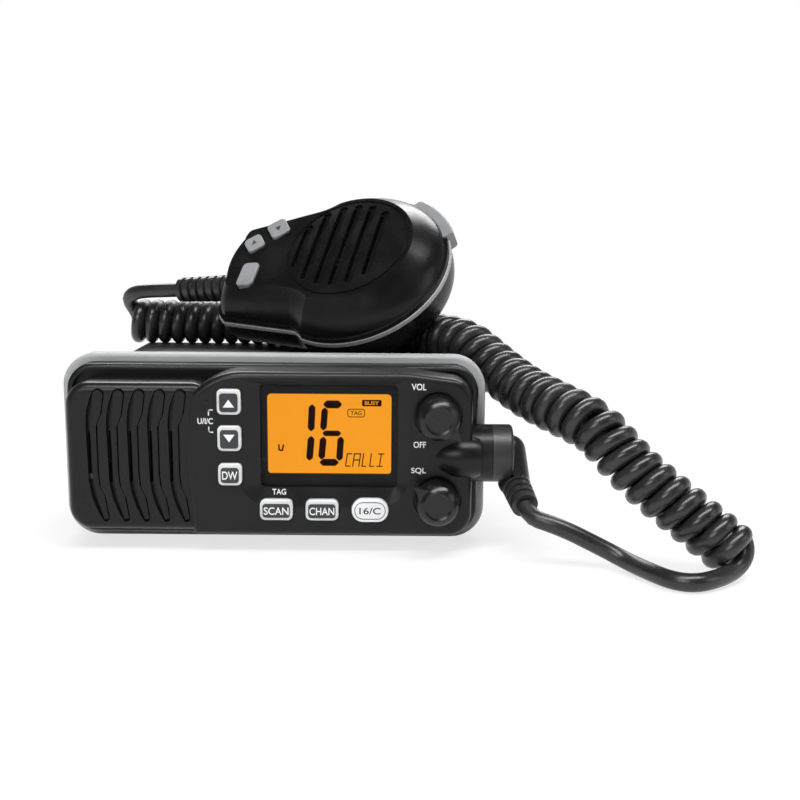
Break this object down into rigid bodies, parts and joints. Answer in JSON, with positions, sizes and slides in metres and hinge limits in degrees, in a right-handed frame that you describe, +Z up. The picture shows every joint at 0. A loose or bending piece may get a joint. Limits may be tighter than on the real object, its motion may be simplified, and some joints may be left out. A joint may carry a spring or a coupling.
{
  "type": "marine vhf radio",
  "caption": "Fixed-mount marine VHF radio with an amber display, two knobs, keys and a curly-cord hand microphone that rests on its case.",
  "frame": {"origin": "on the base plane the radio stands on, at the middle of the front panel's width and level with the front face of its flange", "axes": "+X to the right of someone facing the radio, +Y from the front panel to the rear, +Z up"},
  "size_m": [0.225, 0.1627, 0.114],
  "materials": {
    "panel_plastic": "satin moulded",
    "trim_rubber": "light grey, matte",
    "seal_rubber": "matte",
    "window_clear": "polished",
    "display_glass": "lit amber",
    "backlight": "diffusing",
    "board": "solder mask",
    "pot_metal": "drawn",
    "knob_plastic": "satin with a polished chamfer",
    "shaft_metal": "turned",
    "steel": "zinc plated",
    "speaker_cone": "pressed film",
    "magnet": "ground",
    "socket_plastic": "moulded",
    "chassis_paint": "die cast, satin black",
    "module_metal": "pressed",
    "nickel": "nickel plated",
    "plug_plastic": "satin",
    "cord_rubber": "smooth",
    "key_clear": "clear rim over a dark cap",
    "key_white": "white",
    "mic_plastic": "satin moulded",
    "grey_button": "grey, slightly translucent"
  },
  "bodies": {
    "radio": {"front_panel": "panel_plastic", "trim_ring": "trim_rubber", "panel_seal": "seal_rubber", "display_window": "window_clear", "display_glass": "display_glass", "display_backlight": "backlight", "key_membrane": "seal_rubber", "front_board": "board", "volume_pot": "pot_metal", "squelch_pot": "pot_metal", "speaker_basket": "steel", "speaker_cone": "speaker_cone", "speaker_magnet": "magnet", "mic_socket": "socket_plastic", "panel_screws": "steel", "chassis": "chassis_paint", "bottom_cover": "chassis_paint", "cover_seal": "seal_rubber", "cover_screws": "steel", "main_board": "board", "board_screws": "steel", "power_module": "module_metal", "shield_can": "module_metal", "antenna_socket": "nickel", "power_gland": "seal_rubber", "accessory_gland": "seal_rubber", "plug_insert": "socket_plastic", "plug_boot": "cord_rubber", "mic_lead": "cord_rubber", "cord_coil": "cord_rubber", "plug_lead": "cord_rubber"},
    "volume": {"volume_knob": "knob_plastic", "volume_shaft": "shaft_metal"},
    "squelch": {"squelch_knob": "knob_plastic", "squelch_shaft": "shaft_metal"},
    "up_key": {"key_up": "key_clear"},
    "down_key": {"key_down": "key_clear"},
    "watch_key": {"key_watch": "key_clear"},
    "scan_key": {"key_scan": "key_clear"},
    "channel_key": {"key_channel": "key_clear"},
    "priority_key": {"key_priority": "key_white"},
    "collar": {"plug_collar": "plug_plastic"},
    "microphone": {"mic_front_shell": "mic_plastic", "mic_rear_shell": "mic_plastic", "mic_seal": "trim_rubber", "mic_grille": "mic_plastic", "mic_board": "board", "mic_capsule": "pot_metal", "ptt_switch": "socket_plastic", "mic_boot": "cord_rubber", "hanger_button": "nickel", "mic_screws": "steel"},
    "mic_up": {"mic_key_up": "grey_button"},
    "mic_down": {"mic_key_down": "grey_button"},
    "mic_power": {"mic_key_power": "grey_button"},
    "talk_bar": {"ptt_button": "grey_button"}
  },
  "joints": [
    {"name": "volume_turn", "type": "hinge", "parent": "radio", "child": "volume", "pos_m": [0.0542, -0.02, 0.0455], "axis": [0, 1, 0], "range_deg": [-252, 18]},
    {"name": "squelch_turn", "type": "hinge", "parent": "radio", "child": "squelch", "pos_m": [0.0542, -0.02, 0.0181], "axis": [0, 1, 0], "range_deg": [-99, 201]},
    {"name": "up_press", "type": "slide", "parent": "radio", "child": "up_key", "axis": [0, 1, 0], "range_m": [0, 0.0008], "stiffness_N_per_m": 600, "springref_m": -0.001},
    {"name": "down_press", "type": "slide", "parent": "radio", "child": "down_key", "axis": [0, 1, 0], "range_m": [0, 0.0008], "stiffness_N_per_m": 600, "springref_m": -0.001},
    {"name": "watch_press", "type": "slide", "parent": "radio", "child": "watch_key", "axis": [0, 1, 0], "range_m": [0, 0.0008], "stiffness_N_per_m": 600, "springref_m": -0.001},
    {"name": "scan_press", "type": "slide", "parent": "radio", "child": "scan_key", "axis": [0, 1, 0], "range_m": [0, 0.0008], "stiffness_N_per_m": 600, "springref_m": -0.001},
    {"name": "channel_press", "type": "slide", "parent": "radio", "child": "channel_key", "axis": [0, 1, 0], "range_m": [0, 0.0008], "stiffness_N_per_m": 600, "springref_m": -0.001},
    {"name": "priority_press", "type": "slide", "parent": "radio", "child": "priority_key", "axis": [0, 1, 0], "range_m": [0, 0.0008], "stiffness_N_per_m": 600, "springref_m": -0.001},
    {"name": "collar_turn", "type": "hinge", "parent": "radio", "child": "collar", "pos_m": [0.0755, -0.0095, 0.0313], "axis": [1, 0, 0], "range_deg": [0, 45]},
    {"name": "mic_lift", "type": "slide", "parent": "radio", "child": "microphone", "axis": [0, 0, 1], "range_m": [0, 0.06]},
    {"name": "mic_up_press", "type": "slide", "parent": "microphone", "child": "mic_up", "axis": [0.2988, 0.6287, -0.7179], "range_m": [0, 0.0007], "stiffness_N_per_m": 500, "springref_m": -0.001},
    {"name": "mic_down_press", "type": "slide", "parent": "microphone", "child": "mic_down", "axis": [0.2988, 0.6287, -0.7179], "range_m": [0, 0.0007], "stiffness_N_per_m": 500, "springref_m": -0.001},
    {"name": "mic_power_press", "type": "slide", "parent": "microphone", "child": "mic_power", "axis": [0.2988, 0.6287, -0.7179], "range_m": [0, 0.0007], "stiffness_N_per_m": 500, "springref_m": -0.001},
    {"name": "talk_press", "type": "slide", "parent": "microphone", "child": "talk_bar", "axis": [-0.8319, -0.1969, -0.5187], "range_m": [0, 0.0015], "stiffness_N_per_m": 800, "springref_m": -0.002}
  ]
}
